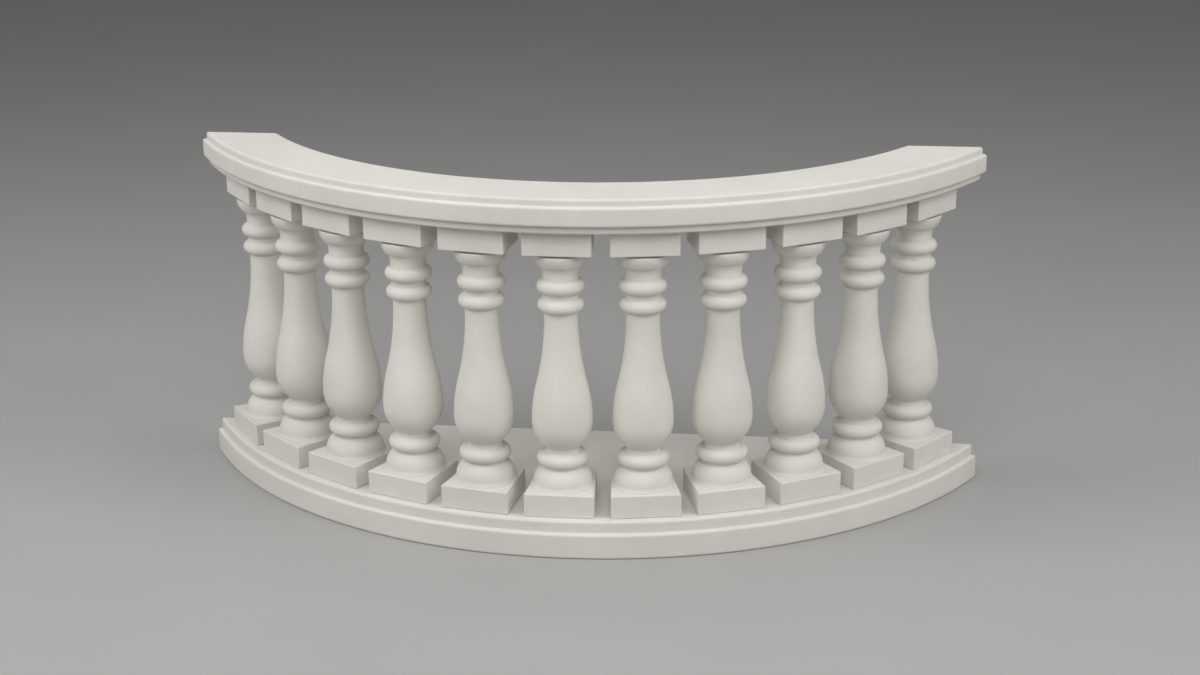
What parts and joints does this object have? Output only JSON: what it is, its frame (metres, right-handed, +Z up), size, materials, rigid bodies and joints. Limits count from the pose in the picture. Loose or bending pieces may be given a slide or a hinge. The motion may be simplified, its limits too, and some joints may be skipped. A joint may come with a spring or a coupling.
{
  "type": "juliet balcony",
  "caption": "Bowed juliet balcony: turned balusters between square blocks carry a moulded curved rail over a stepped half-moon slab that is anchored to a wall.",
  "frame": {"origin": "on the slab's wall face, at the middle of its length and of its thickness", "axes": "+Z up, +Y out of the back into the wall, the bowed front faces -Y, +X to the right seen from the front"},
  "size_m": [2.3042, 0.7053, 1.0039],
  "materials": {
    "cast_stone": "fine matt cast stone"
  },
  "bodies": {
    "root": {"balcony_slab": "cast_stone", "top_rail": "cast_stone", "plinth_block_01": "cast_stone", "plinth_block_02": "cast_stone", "plinth_block_03": "cast_stone", "plinth_block_04": "cast_stone", "plinth_block_05": "cast_stone", "plinth_block_06": "cast_stone", "plinth_block_07": "cast_stone", "plinth_block_08": "cast_stone", "plinth_block_09": "cast_stone", "plinth_block_10": "cast_stone", "plinth_block_11": "cast_stone", "baluster_01": "cast_stone", "baluster_02": "cast_stone", "baluster_03": "cast_stone", "baluster_04": "cast_stone", "baluster_05": "cast_stone", "baluster_06": "cast_stone", "baluster_07": "cast_stone", "baluster_08": "cast_stone", "baluster_09": "cast_stone", "baluster_10": "cast_stone", "baluster_11": "cast_stone", "cap_block_01": "cast_stone", "cap_block_02": "cast_stone", "cap_block_03": "cast_stone", "cap_block_04": "cast_stone", "cap_block_05": "cast_stone", "cap_block_06": "cast_stone", "cap_block_07": "cast_stone", "cap_block_08": "cast_stone", "cap_block_09": "cast_stone", "cap_block_10": "cast_stone", "cap_block_11": "cast_stone"}
  },
  "joints": []
}
